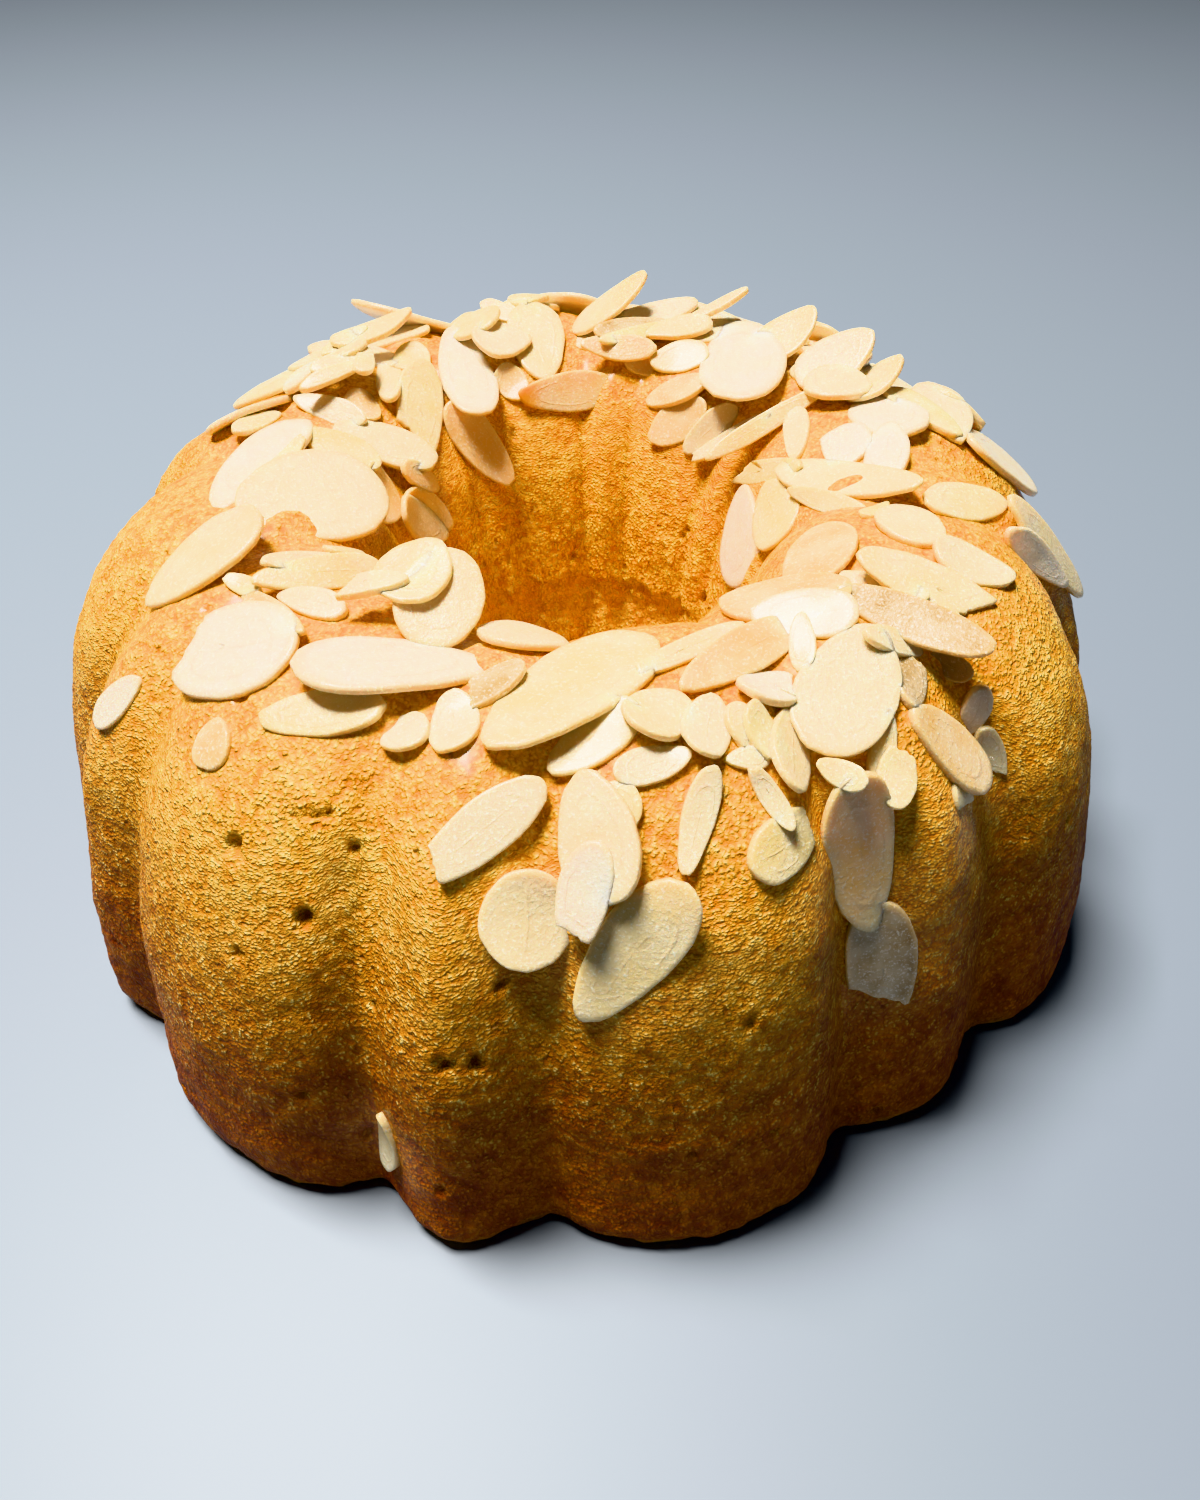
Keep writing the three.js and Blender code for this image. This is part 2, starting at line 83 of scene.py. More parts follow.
# The flakes that can be told apart, lowest first: azimuth, rise, heading of the slim end, length,
# width, kind, and for a leaning one the angle that this end stands up
SHOWN_FLAKES = [
    (-110, 83, 170, 16, 6.5, "oval"), (-106, 87.5, 165, 9.5, 3.5, "oval"),
    (-121, 88, 105, 7, 7, "oval", 25), (-132, 88, 180, 9, 3.5, "oval", 12),
    (-137, 89, 180, 15, 5.5, "oval", 12), (-124.5, 92.5, 150, 8.5, 3, "oval"),
    (-121, 93.5, 160, 10.5, 2.5, "sliver"), (-122, 100, 75, 6.5, 5, "oval"),
    (-128, 95.5, 215, 7.5, 3, "oval"), (-133.5, 97, 230, 14.5, 4, "broken"),
    (-143, 93.5, 235, 8, 6, "round"), (-117, 95, 275, 12, 4, "oval"),
    (-105, 104.5, 270, 11.5, 6.5, "oval"), (-101.5, 117, 240, 9, 7, "oval"),
    (-93, 91.5, 345, 24.5, 9, "oval"), (-92, 95.5, 155, 11.5, 2.5, "sliver"),
    (-165.5, 89.5, 125, 8, 3.5, "oval"), (-159, 90.5, 300, 12, 8, "oval"),
    (-171.5, 97, 90, 15.5, 9, "oval"), (-171.5, 88, 140, 8, 5, "broken", 10),
    (-162.5, 108.5, 110, 6.5, 5, "oval"), (-163, 98, 180, 9.5, 7.5, "oval"),
    (-147, 121, 105, 16, 6.5, "oval"), (-132.5, 109.5, 50, 19.5, 7.5, "broken"),
    (-117.5, 110.5, 295, 15.5, 7, "oval"), (-151.5, 102.5, 255, 21, 8.5, "oval"),
    (-177.5, 112.5, 10, 16, 6, "oval"), (-119, 121, 120, 8, 3.5, "oval"),
    (-116.5, 127.5, 110, 11, 6, "oval"), (-109, 128.5, 140, 13, 6, "oval"),
    (-27, 100, 110, 13, 10, "round", 38), (-33, 100, 90, 10, 9, "round", 30),
    (-61, 106, 120, 8, 4, "oval"), (-56, 100, 85, 17.5, 3.5, "oval"),
    (-53, 96.5, 260, 16, 4.5, "oval"), (-82, 102.5, 300, 20.5, 16, "oval"),
    (-66.5, 83, 275, 18, 12.5, "oval"), (-57, 87, 205, 5.5, 2.5, "sliver"),
    (-48, 87, 180, 15, 3, "oval"), (-46, 91.5, 195, 10, 4, "oval"),
    (-37.5, 95, 220, 10, 3.5, "broken"), (-47.5, 78, 215, 18.5, 13, "chipped"),
    (-58, 57.5, 65, 9.5, 4, "oval"), (-40.5, 65.5, 125, 6, 5, "oval"),
    (-30.5, 77, 205, 14, 5.5, "oval"), (-26, 88, 30, 21.5, 11, "oval"),
    (-10.5, 102, 5, 10.5, 8, "oval"), (-12.5, 88, 230, 10, 4.5, "broken"),
    (-15, 81, 110, 8, 5.5, "round"), (-20, 77, 110, 5.5, 5.5, "round"),
    (1, 79.5, 220, 11.5, 6, "oval"), (8.5, 82, 25, 8, 7, "round"),
    (7, 74.5, 10, 8.5, 4, "oval"), (13.5, 78.5, 60, 8.5, 5.5, "round"),
    (-10, 65, 215, 16, 6, "chipped"), (3, 68, 270, 6, 5, "broken"),
    (1, 64, 105, 14, 9, "oval"), (-6, 52, 80, 10.5, 10, "round"),
    (3.5, 48.5, 235, 19.5, 8.5, "oval"), (0, 56.5, 260, 11.5, 5.5, "chipped", 4),
    (10.5, 65.5, 245, 11.5, 3.5, "oval"), (-1.5, 89, 230, 24.5, 12, "oval"),
    (18.5, 59, 15, 10, 6.5, "chipped"), (29, 31, 275, 21, 8.5, "broken"),
    (27.5, 50.5, 275, 21.5, 8.5, "oval"), (40.5, 72, 30, 8, 4.5, "chipped"),
    (48, 69, 140, 5.5, 3, "oval"), (48, 60, 250, 6.5, 3.5, "oval"),
    (48, 51, 285, 9, 3.5, "broken"), (40.5, 51, 270, 6, 5, "broken"),
    (41, 58.5, 115, 15.5, 7, "oval"), (32.5, 64.5, 60, 9, 3, "oval"),
    (32.5, 60.5, 60, 7.5, 4.5, "chipped"), (17, 72.5, 165, 5, 2.5, "oval"),
    (17.5, 77.5, 270, 5.5, 3.5, "sliver"), (19.5, 75.5, 270, 7, 4, "sliver"),
    (18, 66, 105, 8, 2.5, "sliver"), (27, 64, 140, 5.5, 3, "oval"),
    (22.5, 71.5, 40, 11, 6, "oval"), (24, 82, 340, 10, 5.5, "broken"),
    (16, 92.5, 200, 16, 3, "sliver"), (102, 131, 315, 15.5, 10, "oval"),
    (90, 118.5, 355, 11.5, 8.5, "oval"), (55.5, 101.5, 15, 15, 9.5, "round"),
    (71.5, 95.5, 325, 5, 2.5, "oval"), (79, 106, 50, 14, 3, "oval"),
    (37.5, 97, 130, 15.5, 11, "oval"), (35, 91, 135, 12, 6.5, "oval"),
    (22, 90, 200, 18.5, 5.5, "oval"), (31.5, 88, 50, 7.5, 3, "oval"),
    (32, 76, 35, 17.5, 11, "round"), (79, 80.5, 305, 13.5, 6, "oval"),
    (67.5, 90, 225, 10, 8, "oval"), (63, 79, 285, 11, 7, "oval"),
    (50.5, 89, 100, 11, 4, "oval"), (54.5, 81, 290, 21.5, 7, "broken"),
    (41.5, 79, 325, 10, 3.5, "oval"), (48, 80, 130, 18.5, 5.5, "oval"),
    (81.5, 59, 290, 23.5, 6, "oval"), (78.5, 61, 295, 15, 4, "oval"),
    (103, 82.5, 205, 14, 6, "oval"), (102.5, 90, 15, 14, 9.5, "oval"),
    (109, 106, 150, 11, 4, "oval"), (96.5, 100.5, 105, 10, 7.5, "broken"),
    (91.5, 92.5, 345, 11, 6, "oval"), (146.5, 117, 50, 10.5, 6.5, "oval"),
    (136, 116, 70, 10.5, 4.5, "oval"), (153, 88, 205, 15, 3.5, "oval", 24),
    (167, 90, 215, 22.5, 7.5, "oval", 19), (171.5, 90, 200, 15, 8.5, "oval", 23),
    (166, 94.5, 220, 16, 4.5, "oval"), (166.5, 97, 225, 14, 2.5, "sliver"),
    (156, 92.5, 30, 11, 4.5, "oval"), (162.5, 103, 15, 6, 3.5, "oval"),
    (169, 102.5, 5, 12, 4, "oval"), (149.5, 110, 25, 11, 5, "oval"),
    (153, 100.5, 30, 9.5, 5.5, "oval"), (112, 88, 250, 10, 8, "oval", 34),
    (122, 90, 255, 13, 9, "oval", 35), (114, 92.5, 215, 10, 7.5, "oval"),
    (136, 89, 245, 12, 8, "oval", 36), (138.5, 97, 310, 25, 13, "oval"),
    (109, 118, 30, 19.5, 3.5, "broken"), (127, 116, 45, 15, 3, "sliver"),
    (120, 108.5, 255, 20.5, 3, "sliver"), (84.5, 101, 230, 24, 7, "oval"),
    (-19.5, 13, 95, 10.5, 3.5, "oval"),
]
SCATTERED_SEED = 20240
GOLDEN_ANGLE = 137.508
# Shown flakes that are not plain cream, by their place in the list, and the one with a toasted end
WHITE_FLAKES = {14, 25, 41, 42, 45, 59, 67, 79, 81, 99, 101, 103, 104, 121}
PEACH_FLAKES = {7, 13, 20, 22, 26, 27, 28, 38, 43, 64, 70, 83, 86, 88, 105, 113, 114, 115}
# Painted shade: these flakes lie in shadow and are given a dark grey-brown colour
SHADED_FLAKES = {47, 63, 65, 66, 97, 110}
TOASTED_FLAKE = 26
AWAY_SIDE = {"count": 26, "middle": 77, "spread": 19, "from": 100, "to": 250}
FLAKE_LENGTHS = (15, 23)
FLAKE_PROPORTIONS = (0.4, 0.56)

# The fine meshes
SPONGE_AZIMUTHS = 1120
SPONGE_RISES = 290
UNDERSIDE_RINGS = 14
FLAKE_RINGS = (0.14, 0.34, 0.56, 0.75, 0.88, 0.96)
FLAKE_AROUND = 36
FLAKE_SEED = 411
FLAKE_CURLS = (-0.5, 1.0)
FLAKE_TWISTS = (-0.4, 0.4)
FLAKE_THICKNESSES = (0.8, 1.05)
FLAKE_WAVE = 0.13
FLAKE_WAVE_SIZE = 4.5
CREAM_TINTS = (0.35, 1)
NOISE_SHIFT = np.array([13.1, 7.7, 3.3])
CREASE_SOFTNESS = 1.4
CREASE_SAMPLES = 41
OUTLINE_SAMPLES = 7200
SECTION_SAMPLES = 1441

# The crumb: pits that can be told apart (azimuth, rise, radius, depth), and how the others are spread
SHOWN_PITS = [
    (-33.75, 54.25, 1.5, 1.5), (-33.0, 53.0, 1.1, 1.1), (-22.75, 57.25, 1.0, 1.1),
    (-28.5, 61.5, 0.8, 0.7), (-27.5, 61.7, 0.7, 0.8), (-26.5, 62.0, 0.8, 0.9), (-25.4, 62.6, 0.9, 0.9),
    (-26.0, 47.0, 1.3, 1.6), (-31.75, 39.75, 0.9, 1.0), (-9.75, 32.75, 1.2, 1.3),
    (-12.2, 33.0, 1.3, 1.2), (-7.75, 42.5, 0.8, 1.2), (-7.3, 43.0, 0.6, 1.0),
]
PIT_SEED = 77
PIT_COUNT = 170
PIT_RADII = (0.45, 1.3)
PIT_DEPTHS = (0.3, 1.1)
PIT_RISES = (4, 150)
# Lumps of the skin, everywhere and near the foot (size, height, seed), and how high the foot's reach
SKIN_LUMPS = [(17, 0.55, 6), (6, 0.28, 7)]
FOOT_LUMPS = [(2.6, 0.55, 8), (7, 0.35, 9)]
FOOT_REACH = 2.2
CELL_SIZE = 2.1
CELL_HEIGHT = 0.22
CELL_WARP = 0.8
CELL_WARP_SIZE = 5
FINE_SIZE = 0.9
FINE_HEIGHT = 0.07
TOAST_TOP = 34
TOAST_FULL = 4
SYRUP_REACH = 5.5
SYRUP_SPREAD = 1.1
TEAR_MIDDLE = 180
TEAR_HALF_WIDTH = 62
TEAR_TOP = 30
TEAR_DEPTH = 1.2

# Sizes in the crumb's material
GRANULE_SIZE = 0.55
CLUMP_SIZE = 1.5
GRAIN_SIZE = 0.26
HOLE_SPACING = 2.6
PATCH_SIZE = 9.0
WANDER_SIZE = 4.5
WOBBLE_SIZE = 1.0
WOBBLE = 0.8
WALL_STRETCH = 0.7

# Colours as they look on a screen, from 0 to 255; of a pair, the crumb wanders between the two
GOLDEN_TOP = ((255, 214, 108), (248, 190, 72))
# The walls' brown is partly the crust's own colour and partly painted shade of the steep walls under the
# light above
BROWN_WALL_AND_SHADE = ((184, 114, 24), (154, 84, 12))
TOASTED_CRUST = ((158, 80, 10), (132, 56, 4))
# Partly the moist crumb's own amber, partly a painted glow of the light that bounces inside the hole
AMBER_HOLE_GLOW = ((255, 212, 92), (248, 180, 46))
WET_CRUMB = (250, 176, 66)
# Painted shade, multiplied into the low gaps between granules and clumps
PAINTED_GAP_SHADE = (196, 146, 70)
# Painted highlights: light colours laid on the granules' tops, pale on the top and browner on the toasted
# walls
PAINTED_GRANULE_HIGHLIGHT = (255, 232, 150)
PAINTED_CRUST_HIGHLIGHT = (206, 122, 34)
# Painted shade for the pits and holes, which are also sunk into the surface
PAINTED_PIT_SHADE = (130, 60, 8)
TORN_CRUMB = (250, 190, 92)
WHITE_NUT = (222, 208, 190)
CREAM_NUT = (228, 202, 138)
PEACH_NUT = (232, 186, 116)
# Painted shade for the flakes that lie in shadow
SHADED_NUT = (150, 118, 62)
CLOUDED_NUT = (238, 222, 192)
NUT_MARKS = (206, 164, 110)
NUT_RIM = (236, 200, 140)
# Painted glints: near-white specks that stand in for the wet flakes' glitter
PAINTED_NUT_GLINTS = (255, 250, 240)
TOASTED_NUT = (238, 162, 50)

# The camera, found from the cake's outline in the photograph
CAMERA_DISTANCE = 195.4
CAMERA_ELEVATION = 46.3
CAMERA_LENS = 26.83
CAMERA_PAN = -0.78
CAMERA_TILT = 2.1
CAMERA_ROLL = 1.65

# The light: a window high up and a little behind on the left, in a pale room
WINDOW_TOWARDS = (-0.24, 0.1, 0.95)
WINDOW_AIM = 50
WINDOW_DISTANCE = 900
WINDOW_SIZE = 300
WINDOW_POWER = 27
WINDOW_COLOUR = (1.0, 0.97, 0.92)
ROOM_COLOUR = (0.85, 0.92, 1.0, 1)
ROOM_STRENGTH = 0.06
FLOOR_COLOUR = (0.17, 0.2, 0.24, 1)


def layout_lobes():
    """The lobe table as arrays: where each stretch starts, its width, radius, and creases."""
    widths, tips, after = (np.array(column, float) for column in zip(*LOBES))
    starts = FIRST_CREASE + np.concatenate([[0], np.cumsum(widths)[:-1]])
    before = np.concatenate([[FIRST_CREASE_RADIUS], after[:-1]])
    return starts, widths, tips, before, after


STARTS, WIDTHS, TIPS, BEFORE, AFTER = layout_lobes()


def outline_at(azimuth):
    """Radius at the foot, and the swell: 0 in a crease, 1 on the middle of a lobe."""
    turned = np.mod(azimuth - FIRST_CREASE, 360) + FIRST_CREASE
    lobe = np.clip(np.searchsorted(STARTS, turned, side="right") - 1, 0, len(LOBES) - 1)
    share = (turned - STARTS[lobe]) / WIDTHS[lobe]
    off = np.minimum(1, np.abs(2 * share - 1))
    swell = np.where(lobe % 2 == 0, (1 - off**LOBE_FULLNESS) ** LOBE_ROUNDNESS, 1 - off**RIDGE_SHARPNESS)
    crease = BEFORE[lobe] + (AFTER[lobe] - BEFORE[lobe]) * share
    return crease + (TIPS[lobe] - crease) * swell, swell


def top_at(swell):
    return CREST_HEIGHT - CREASE_DIP * (1 - swell)


def wall_radius(radius, top, height):
    full = (1 - np.clip(height / top, 0, 1) ** SHOULDER_SQUARENESS) ** (1 / SHOULDER_ROUNDNESS)
    foot = FOOT_INSET * np.maximum(0, 1 - height / FOOT_HEIGHT) ** 2
    return CREST_RADIUS + (radius - CREST_RADIUS - WALL_TAPER * height) * full - foot


def hole_radius(swell, top, height):
    full = (1 - np.clip(height / top, 0, 1) ** LIP_SQUARENESS) ** (1 / LIP_ROUNDNESS)
    upright = HOLE_RADIUS + HOLE_FLUTE * (1 - swell) + HOLE_TAPER * height
    return CREST_RADIUS - (CREST_RADIUS - upright) * full


def point_at(azimuth, rise, outline=None):
    """Points of the cake's surface, in millimetres, as an array whose last axis is x, y, z."""
    azimuth, rise = np.broadcast_arrays(np.asarray(azimuth, float), np.asarray(rise, float))
    radius, swell = outline or outline_at(azimuth)
    top = top_at(swell)
    height = top * np.clip(np.sin(np.radians(rise)), 0, 1)
    across = np.where(rise <= 90, wall_radius(radius, top, height), hole_radius(swell, top, height))
    turn = np.radians(azimuth)
    return np.stack([across * np.sin(turn), -across * np.cos(turn), height], -1)


def is_inside(points):
    radius, swell = outline_at(np.degrees(np.arctan2(points[..., 0], -points[..., 1])))
    top = top_at(swell)
    height = points[..., 2]
    across = np.hypot(points[..., 0], points[..., 1])
    between = (across < wall_radius(radius, top, height)) & (across > hole_radius(swell, top, height))
    return (height >= 0) & (height < top) & between


# Places in a flake's outline where it may touch what is under it
TOUCH_PLACES = np.array([[0, 0]] + [
    [reach * math.cos(corner * math.pi / 4), reach * math.sin(corner * math.pi / 4)]
    for reach in (0.5, 0.94) for corner in range(8)
])
TRIPLES = np.array(list(itertools.combinations(range(len(TOUCH_PLACES)), 3)))
PROBE_START = 14
PROBE_END = -9
PROBE_STEP = 0.5
PROBE_HALVINGS = 7
LEAST_FACING = 0.3
NEAR_FLAKES = 8
TINY_AREA = 1e-6
TIE = 1e-9


def is_under_outline(flake, x, y):
    taper, cut, bend = KINDS[flake.kind]
    along = x / (flake.length / 2)
    half = flake.width / 2 * (1 - taper * along) * np.sqrt(np.maximum(0, 1 - along**2))
    beside = np.abs(y - bend * flake.length * (0.5 - along**2))
    return (np.abs(along) < 1) & (along <= cut) & (beside < half)


def cake_height(origins, normal):
    """How high above a spot's plane the cake is met at each place, coming straight down onto it."""
    probes = np.arange(PROBE_START, PROBE_END, -PROBE_STEP)
    hits = is_inside(origins[:, None] + probes[:, None] * normal)
    low = probes[hits.argmax(1)]
    high = low + PROBE_STEP
    for _ in range(PROBE_HALVINGS):
        middle = (low + high) / 2
        inside = is_inside(origins + middle[:, None] * normal)
        low = np.where(inside, middle, low)
        high = np.where(inside, high, middle)
    return np.where(hits.any(1), (low + high) / 2, PROBE_END)


def flake_height(flake, origins, normal):
    """The same for a flake that lies there already."""
    facing = normal @ flake.up
    if facing < LEAST_FACING:
        return np.full(len(origins), float(PROBE_END))
    top = flake.centre + flake.up * FLAKE_THICKNESS / 2
    heights = (top - origins) @ flake.up / facing
    met = origins + heights[:, None] * normal - flake.centre
    under = is_under_outline(flake, met @ flake.along, met @ flake.across)
    return np.where(under & (heights <= PROBE_START), heights, PROBE_END)


def resting_slopes(x, y, z):
    """Slopes of the plane through three touched places that holds the middle highest."""
    (ax, bx, cx), (ay, by, cy), (az, bz, cz) = (values[TRIPLES].T for values in (x, y, z))
    area = (bx - ax) * (cy - ay) - (by - ay) * (cx - ax)
    area = np.where(np.abs(area) < TINY_AREA, np.nan, area)
    share_a = (bx * cy - cx * by) / area
    share_b = (cx * ay - ax * cy) / area
    share_c = 1 - share_a - share_b
    holds = np.minimum(np.minimum(share_a, share_b), share_c) >= -TIE
    heights = np.where(holds, share_a * az + share_b * bz + share_c * cz, -np.inf)
    best = np.argmax(heights > heights.max() - TIE)
    slope_x = ((bz - az) * (cy - ay) - (cz - az) * (by - ay)) / area
    slope_y = ((bx - ax) * (cz - az) - (cx - ax) * (bz - az)) / area
    return slope_x[best], slope_y[best]


def unit(vector):
    return vector / np.linalg.norm(vector)


def frame_at(azimuth, rise):
    """A spot on the cake, the direction of growing azimuth there, and the normal."""
    ends = point_at([azimuth + 0.5, azimuth - 0.5, azimuth, azimuth], [rise, rise, rise + 0.5, rise - 0.5])
    towards = ends[0] - ends[1]
    normal = unit(np.cross(towards, ends[2] - ends[3]))
    return point_at(azimuth, rise), unit(towards), normal


def settle(azimuth, rise, heading, length, width, kind, lean, laid):
    """Lays a flake on the cake and on the flakes that are there, and says where it came to rest."""
    flake = SimpleNamespace(length=length, width=width, kind=kind)
    spot, towards, normal = frame_at(azimuth, rise)
    turn = math.radians(heading)
    along = towards * math.cos(turn) + np.cross(normal, towards) * math.sin(turn)
    across = np.cross(normal, along)
    x, y = TOUCH_PLACES[:, 0] * length / 2, TOUCH_PLACES[:, 1] * width / 2
    origins = spot + x[:, None] * along + y[:, None] * across
    z = cake_height(origins, normal)
    for other in laid:
        if np.linalg.norm(other.centre - spot) < (other.length + length) / 2 + NEAR_FLAKES:
            z = np.maximum(z, flake_height(other, origins, normal))
    slope_x, slope_y = resting_slopes(x, y, z)
    flake.slope = math.hypot(slope_x, slope_y)
    touching, sink = 3, FLAKE_SINK
    if lean:
        slope_x, slope_y = math.tan(math.radians(lean)), 0
        touching, sink = 1, LEANING_SINK
    elif flake.slope > STEEPEST:
        slope_x, slope_y = slope_x * STEEPEST / flake.slope, slope_y * STEEPEST / flake.slope
    height = np.sort(z - slope_x * x - slope_y * y)[-touching]
    flake.up = unit(normal - slope_x * along - slope_y * across)
    flake.along = unit(along - (along @ flake.up) * flake.up)
    flake.across = np.cross(flake.up, flake.along)
    flake.centre = spot + normal * height + flake.up * (FLAKE_THICKNESS / 2 - sink)
    return flake


def seeded_draws(seed):
    """Random draws that come out the same on every run."""
    state = seed
    while True:
        state = (state * 1664525 + 1013904223) % 2**32
        yield state / 2**32


def between(ends, share):
    return ends[0] * (1 - share) + ends[1] * share


def scatter(rule, draws, laid):
    for index in range(rule["count"]):
        azimuth = between((rule["from"], rule["to"]), (index * GOLDEN_ANGLE) % 360 / 360)
        rise = rule["middle"] + rule["spread"] * (next(draws) + next(draws) - 1)
        heading = 360 * next(draws)
        length = between(FLAKE_LENGTHS, next(draws))
        width = length * between(FLAKE_PROPORTIONS, next(draws))
        pick = next(draws)
        kind = "oval" if pick < 0.6 else "broken" if pick < 0.85 else "curved"
        flake = settle(azimuth, rise, heading, length, width, kind, None, laid)
        if flake.slope < TOO_STEEP:
            laid.append(flake)


def lay_flakes():
    laid = []
    draws = seeded_draws(SCATTERED_SEED)
    scatter(AWAY_SIDE, draws, laid)
    for flake in laid:
        flake.row = None
    for row, (azimuth, rise, heading, length, width, kind, *lean) in enumerate(SHOWN_FLAKES):
        laid.append(settle(azimuth, rise, heading, length, width, kind, lean[0] if lean else None, laid))
        laid[-1].row = row
    return laid


def lumps(places, size, seed):
    """Smooth noise between -1 and 1, with lumps about as large as size."""
    moved = places / size + seed * NOISE_SHIFT
    return np.array([noise.noise(place) for place in moved.tolist()])


def layered_lumps(places, layers):
    """Lumps of several sizes added up, from rows of size, height and seed."""
    return sum(height * lumps(places, size, seed) for size, height, seed in layers)


def crumb_cells(places, size, seed):
    """Distance to the nearest of many scattered points, about 0 at a point and 1 between them."""
    moved = places / size + seed * NOISE_SHIFT
    return np.array([noise.voronoi(place)[0][0] for place in moved.tolist()])


def smooth_step(value, start, end):
    share = np.clip((value - start) / (end - start), 0, 1)
    return share * share * (3 - 2 * share)


def rounded_outline_at(azimuth):
    """The outline with its creases rounded, as batter rounds them in a tin."""
    offsets = np.linspace(-2, 2, CREASE_SAMPLES)
    weights = np.exp(-offsets**2 / 2)
    weights /= weights.sum()
    radii, swells = zip(*(outline_at(azimuth + offset * CREASE_SOFTNESS) for offset in offsets))
    return np.tensordot(weights, radii, 1), np.tensordot(weights, swells, 1)


def even_azimuths():
    """Azimuths that cut the foot's outline into steps of equal length."""
    dense = np.linspace(0, 360, OUTLINE_SAMPLES, endpoint=False)
    foot = point_at(dense, 0)
    walked = np.linalg.norm(np.diff(foot, axis=0, append=foot[:1]), axis=1)
    reached = np.concatenate([[0], np.cumsum(walked)])
    return np.interp(np.linspace(0, reached[-1], SPONGE_AZIMUTHS, endpoint=False), reached, [*dense, 360])


def even_rises():
    dense = np.linspace(0, 180, SECTION_SAMPLES)
    section = point_at(FIRST_CREASE + LOBES[0][0] / 2, dense)
    reached = np.concatenate([[0], np.cumsum(np.linalg.norm(np.diff(section, axis=0), axis=1))])
    return np.interp(np.linspace(0, reached[-1], SPONGE_RISES), reached, dense)


def grid_normals(grid):
    """Outward normals of a grid of points that closes on itself in both directions."""
    around = np.roll(grid, -1, 0) - np.roll(grid, 1, 0)
    across = np.roll(grid, -1, 1) - np.roll(grid, 1, 1)
    normals = np.cross(around, across)
    return normals / np.linalg.norm(normals, axis=-1, keepdims=True)


def add_dent(depth, places, centre, radius, deepest):
    """Adds one uneven pit to the depths."""
    away = np.linalg.norm(places - centre, axis=-1)
    near = away < 2 * radius
    away = away[near] * (1 + 0.5 * lumps(places[near], 0.8 * radius, 15))
    depth[near] = np.maximum(depth[near], deepest * (1 - smooth_step(away, radius * 0.2, radius)))


def pit_depth(places):
    """Depth of the crumb's pits: those that can be told apart, and many more that are scattered."""
    depth = np.zeros(len(places))
    for azimuth, rise, radius, deepest in SHOWN_PITS:
        add_dent(depth, places, point_at(azimuth, rise), radius, deepest)
    draws = seeded_draws(PIT_SEED)
    for _ in range(PIT_COUNT):
        centre = point_at(360 * next(draws), between(PIT_RISES, next(draws)))
        size = next(draws) ** 2
        add_dent(depth, places, centre, between(PIT_RADII, size), between(PIT_DEPTHS, size))
    return depth


def syrup_at(places, flakes):
    """How wet the crumb is: 1 where flakes lie thick, 0 well away from them."""
    total = np.zeros(places.shape[:-1])
    for flake in flakes:
        reach = SYRUP_REACH + flake.length / 4
        total += np.exp(-((places - flake.centre) ** 2).sum(-1) / reach**2)
    return 1 - np.exp(-SYRUP_SPREAD * total)


def sponge_surface(flakes):
    """The cake's fine skin as a grid of points, and what its material reads at each of them."""
    azimuth = even_azimuths()[:, None]
    rise = even_rises()[None, :]
    skin = point_at(azimuth, rise, rounded_outline_at(azimuth))
    inner, outer = skin[:, -1:], skin[:, :1]
    shares = (np.arange(1, UNDERSIDE_RINGS + 1) / (UNDERSIDE_RINGS + 1))[None, :, None]
    grid = np.concatenate([skin, inner + (outer - inner) * shares], axis=1)
    normals = grid_normals(grid)
    shape = grid.shape[:2]
    places = grid.reshape(-1, 3)
    turned = np.degrees(np.arctan2(places[:, 0], -places[:, 1]))
    across = np.hypot(places[:, 0], places[:, 1])
    height = places[:, 2]
    steep = 1 - np.abs(normals.reshape(-1, 3)[:, 2])
    in_hole = smooth_step(CREST_RADIUS - across, 4, 16)
    syrup = syrup_at(places, flakes)

    warp = np.stack([lumps(places, CELL_WARP_SIZE, seed) for seed in (1, 2, 3)], -1)
    crumb = crumb_cells(places + CELL_WARP * warp, CELL_SIZE, 4)
    fine = lumps(places, FINE_SIZE, 5)
    push = layered_lumps(places, SKIN_LUMPS)
    push += (1 - 0.6 * syrup) * (CELL_HEIGHT * (0.5 - crumb) + FINE_HEIGHT * fine)

    near_foot = np.exp(-height / FOOT_REACH) * (1 - in_hole)
    push += near_foot * layered_lumps(places, FOOT_LUMPS)

    depth = pit_depth(places) * (1 - 0.5 * syrup)
    tear = tear_depth(places, turned, height, in_hole)
    push -= depth + tear
    grid = grid + push.reshape(shape)[..., None] * normals
    grid[..., 2] = np.maximum(grid[..., 2], 0)
    toast = smooth_step(height, TOAST_TOP, TOAST_FULL) * (1 - in_hole) * 0.8 + 0.2 * lumps(places, 9, 10)
    return grid, {
        "syrup": syrup,
        "pit": np.clip(depth / PIT_DEPTHS[1], 0, 1),
        "tear": np.clip(tear, 0, 1),
        "toast": np.clip(toast, 0, 1),
        "hole": in_hole,
        "steep": steep,
    }


def tear_depth(places, turned, height, in_hole):
    """The skin torn off low in the hole's far wall, where the crumb stuck to the tin."""
    behind = np.abs(np.mod(turned, 360) - TEAR_MIDDLE)
    edge = TEAR_TOP + 2.6 * lumps(places * [1, 1, 0], 5, 11) + 1.1 * lumps(places, 1.9, 12)
    below = smooth_step(edge - height, 0, 0.8) * (1 - smooth_step(edge - height, 5, 13))
    wide = 1 - smooth_step(behind + 9 * lumps(places, 8, 13), TEAR_HALF_WIDTH - 12, TEAR_HALF_WIDTH)
    rough = 0.75 + 0.5 * lumps(places, 1.6, 14)
    return TEAR_DEPTH * below * wide * in_hole * rough


